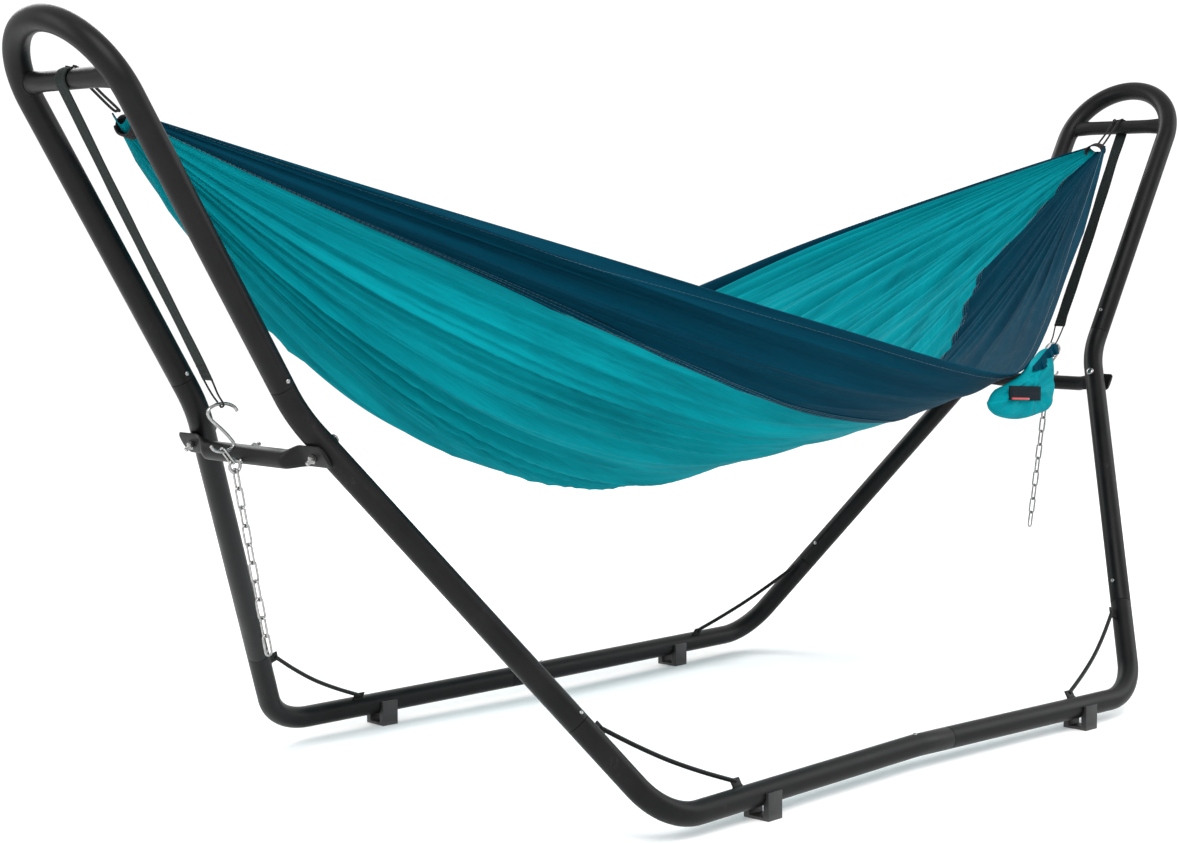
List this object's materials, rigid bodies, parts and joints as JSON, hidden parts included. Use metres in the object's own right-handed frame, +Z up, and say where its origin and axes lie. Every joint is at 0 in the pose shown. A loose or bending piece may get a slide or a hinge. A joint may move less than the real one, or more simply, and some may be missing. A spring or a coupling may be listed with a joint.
{
  "type": "hammock on stand",
  "caption": "Gathered-end nylon hammock with a storage pouch, hung by straps, hooks and chains from a bolted black tube stand on plastic feet.",
  "frame": {"origin": "on the floor under the middle of the stand", "axes": "+X along the stand towards the right end, +Y across it towards the far side, +Z up"},
  "size_m": [3.029, 1.402, 1.3354],
  "materials": {
    "black_tube": "matte black powder coat on steel tube",
    "zinc_steel": "bright zinc plated steel",
    "black_plastic": "moulded black plastic",
    "webbing": "woven black polyester webbing sleeve",
    "black_cord": "braided black polyester cord",
    "cyan_nylon": "crinkled ripstop-weight nylon taffeta, turquoise",
    "navy_nylon": "crinkled nylon taffeta, dark teal blue"
  },
  "bodies": {
    "stand": {"left_anchor_link": "zinc_steel", "left_cord_loop": "black_cord", "left_end_loop": "black_tube", "left_eye_bolt": "zinc_steel", "left_eye_nut": "zinc_steel", "left_far_base_corner": "black_tube", "left_far_brace": "black_tube", "left_far_elbow_leg": "black_tube", "left_far_foot": "black_plastic", "left_far_waist_bolt": "zinc_steel", "left_far_waist_nut": "zinc_steel", "left_hook": "zinc_steel", "left_near_base_corner": "black_tube", "left_near_brace": "black_tube", "left_near_elbow_leg": "black_tube", "left_near_foot": "black_plastic", "left_near_waist_bolt": "zinc_steel", "left_near_waist_nut": "zinc_steel", "left_rope": "black_cord", "left_strap": "webbing", "left_top_crossbar": "black_tube", "left_waist_crossbar": "black_tube", "right_anchor_link": "zinc_steel", "right_cord_loop": "black_cord", "right_end_loop": "black_tube", "right_eye_bolt": "zinc_steel", "right_eye_nut": "zinc_steel", "right_far_base_corner": "black_tube", "right_far_brace": "black_tube", "right_far_elbow_leg": "black_tube", "right_far_foot": "black_plastic", "right_far_waist_bolt": "zinc_steel", "right_far_waist_nut": "zinc_steel", "right_hook": "zinc_steel", "right_near_base_corner": "black_tube", "right_near_brace": "black_tube", "right_near_elbow_leg": "black_tube", "right_near_foot": "black_plastic", "right_near_waist_bolt": "zinc_steel", "right_near_waist_nut": "zinc_steel", "right_rope": "black_cord", "right_strap": "webbing", "right_top_crossbar": "black_tube", "right_waist_crossbar": "black_tube"},
    "hammock": {"centre_panel": "cyan_nylon", "near_side_panel": "navy_nylon", "far_side_panel": "navy_nylon", "storage_pouch": "cyan_nylon"},
    "left_chain": {"left_chain_tail": "zinc_steel"},
    "right_chain": {"right_chain_tail": "zinc_steel"},
    "left_near_upper_button_pin": {"left_near_upper_button": "zinc_steel"},
    "left_near_lower_button_pin": {"left_near_lower_button": "zinc_steel"},
    "left_far_upper_button_pin": {"left_far_upper_button": "zinc_steel"},
    "left_far_lower_button_pin": {"left_far_lower_button": "zinc_steel"},
    "right_near_upper_button_pin": {"right_near_upper_button": "zinc_steel"},
    "right_near_lower_button_pin": {"right_near_lower_button": "zinc_steel"},
    "right_far_upper_button_pin": {"right_far_upper_button": "zinc_steel"},
    "right_far_lower_button_pin": {"right_far_lower_button": "zinc_steel"},
    "near_rail_button_pin": {"near_rail_button": "zinc_steel"},
    "far_rail_button_pin": {"far_rail_button": "zinc_steel"}
  },
  "joints": [
    {"name": "hammock_swing", "type": "hinge", "parent": "stand", "child": "hammock", "pos_m": [0, 0, 1.2263], "axis": [1, 0, 0], "range_deg": [-12, 12]},
    {"name": "left_chain_swing", "type": "hinge", "parent": "stand", "child": "left_chain", "pos_m": [-1.15162, 0, 0.6133], "axis": [0, 1, 0], "range_deg": [-10, 30]},
    {"name": "right_chain_swing", "type": "hinge", "parent": "stand", "child": "right_chain", "pos_m": [1.15162, 0, 0.6133], "axis": [0, 1, 0], "range_deg": [-30, 10]},
    {"name": "left_near_upper_button_press", "type": "slide", "parent": "stand", "child": "left_near_upper_button_pin", "axis": [-0.0733, 0.9963, -0.044], "range_m": [0, 0.0034], "stiffness_N_per_m": 1500, "springref_m": -0.002},
    {"name": "left_near_lower_button_press", "type": "slide", "parent": "stand", "child": "left_near_lower_button_pin", "axis": [-0.1178, 0.821, -0.5587], "range_m": [0, 0.0034], "stiffness_N_per_m": 1500, "springref_m": -0.002},
    {"name": "left_far_upper_button_press", "type": "slide", "parent": "stand", "child": "left_far_upper_button_pin", "axis": [-0.0733, 0.9963, -0.044], "range_m": [0, 0.0034], "stiffness_N_per_m": 1500, "springref_m": -0.002},
    {"name": "left_far_lower_button_press", "type": "slide", "parent": "stand", "child": "left_far_lower_button_pin", "axis": [-0.5808, 0.809, 0.0908], "range_m": [0, 0.0034], "stiffness_N_per_m": 1500, "springref_m": -0.002},
    {"name": "right_near_upper_button_press", "type": "slide", "parent": "stand", "child": "right_near_upper_button_pin", "axis": [0.8575, 0, -0.5145], "range_m": [0, 0.0034], "stiffness_N_per_m": 1500, "springref_m": -0.002},
    {"name": "right_near_lower_button_press", "type": "slide", "parent": "stand", "child": "right_near_lower_button_pin", "axis": [0.8643, -0.1578, -0.4777], "range_m": [0, 0.0034], "stiffness_N_per_m": 1500, "springref_m": -0.002},
    {"name": "right_far_upper_button_press", "type": "slide", "parent": "stand", "child": "right_far_upper_button_pin", "axis": [0.8575, 0, -0.5145], "range_m": [0, 0.0034], "stiffness_N_per_m": 1500, "springref_m": -0.002},
    {"name": "right_far_lower_button_press", "type": "slide", "parent": "stand", "child": "right_far_lower_button_pin", "axis": [0.8643, 0.1578, -0.4777], "range_m": [0, 0.0034], "stiffness_N_per_m": 1500, "springref_m": -0.002},
    {"name": "near_rail_button_press", "type": "slide", "parent": "stand", "child": "near_rail_button_pin", "axis": [0.0082, 0.0003, -1], "range_m": [0, 0.0034], "stiffness_N_per_m": 1500, "springref_m": -0.002},
    {"name": "far_rail_button_press", "type": "slide", "parent": "stand", "child": "far_rail_button_pin", "axis": [-0.0082, -0.0003, -1], "range_m": [0, 0.0034], "stiffness_N_per_m": 1500, "springref_m": -0.002}
  ]
}
